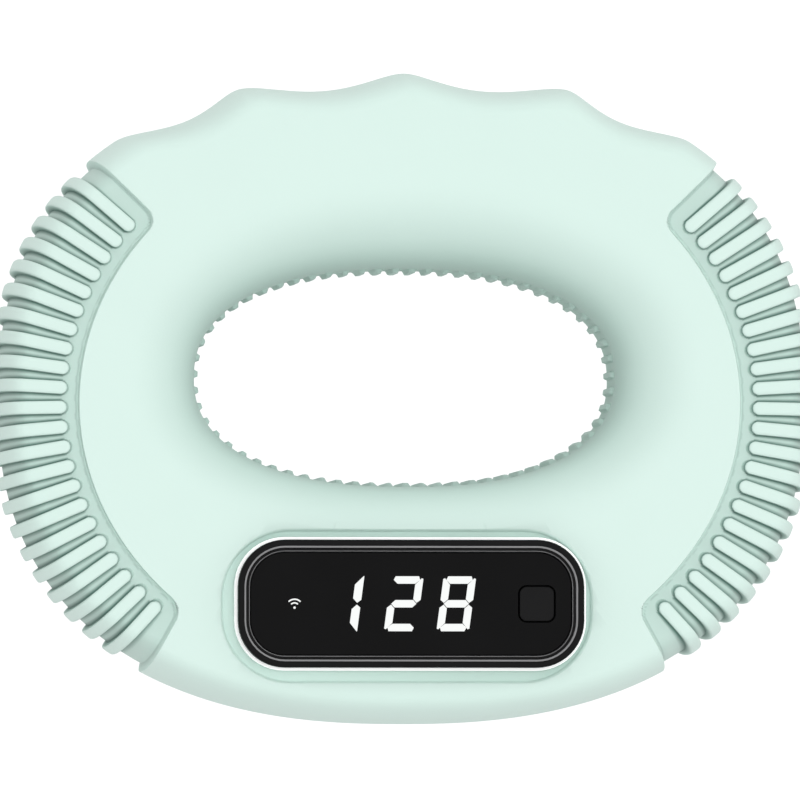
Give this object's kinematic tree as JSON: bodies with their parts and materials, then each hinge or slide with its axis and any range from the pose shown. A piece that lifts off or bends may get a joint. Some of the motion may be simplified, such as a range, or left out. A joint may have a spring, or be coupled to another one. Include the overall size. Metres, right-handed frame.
{
  "type": "hand dynamometer",
  "caption": "Oval silicone grip ring with finger grooves and ribbed sides, a strain-gauged spring band inside, and a digital display module with a power key in its palm side.",
  "frame": {"origin": "centre of the bounding box's bottom face, on the back face that the ring lies on", "axes": "+Z out of the display face, +Y towards the finger grooves, +X to the right as the display is read"},
  "size_m": [0.091, 0.072, 0.0298],
  "materials": {
    "mint_silicone": "matte",
    "spring_steel": "satin",
    "black_plastic": "gloss",
    "white_plastic": "gloss",
    "dark_window": "gloss",
    "circuit_board": "satin",
    "amber_film": "satin",
    "grey_package": "matte",
    "bright_metal": "bright",
    "silver_pouch": "satin",
    "clear_plastic": "clear",
    "black_rubber": "matte"
  },
  "bodies": {
    "palm": {"palm_grip": "mint_silicone", "left_side_grip": "mint_silicone", "right_side_grip": "mint_silicone", "spring_band": "spring_steel", "strain_gauge_left": "amber_film", "strain_gauge_right": "amber_film", "gauge_flex": "amber_film", "module_case": "black_plastic", "display_bezel": "black_plastic", "trim_ring": "white_plastic", "display_lens": "dark_window", "display_mask": "black_rubber", "button_switch": "bright_metal", "main_board": "circuit_board", "board_screw_left": "bright_metal", "board_screw_right": "bright_metal", "digit_display": "grey_package", "link_lamp": "white_plastic", "link_light_pipe": "clear_plastic", "radio_chip": "bright_metal", "gauge_amplifier": "grey_package", "battery": "silver_pouch", "battery_tray": "black_plastic", "charge_board": "circuit_board", "charge_socket": "bright_metal", "back_cover": "black_plastic", "cover_screw_left": "bright_metal", "cover_screw_right": "bright_metal", "case_gasket": "black_rubber"},
    "finger": {"finger_grip": "mint_silicone"},
    "button": {"power_button": "black_plastic", "switch_plunger": "white_plastic"}
  },
  "joints": [
    {"name": "squeeze", "type": "slide", "parent": "palm", "child": "finger", "axis": [0, -1, 0], "range_m": [0, 0.01], "stiffness_N_per_m": 6000, "deforming": ["left_side_grip", "right_side_grip", "spring_band"]},
    {"name": "button_press", "type": "slide", "parent": "palm", "child": "button", "axis": [0, 0, -1], "range_m": [0, 0.00035], "stiffness_N_per_m": 2500}
  ]
}
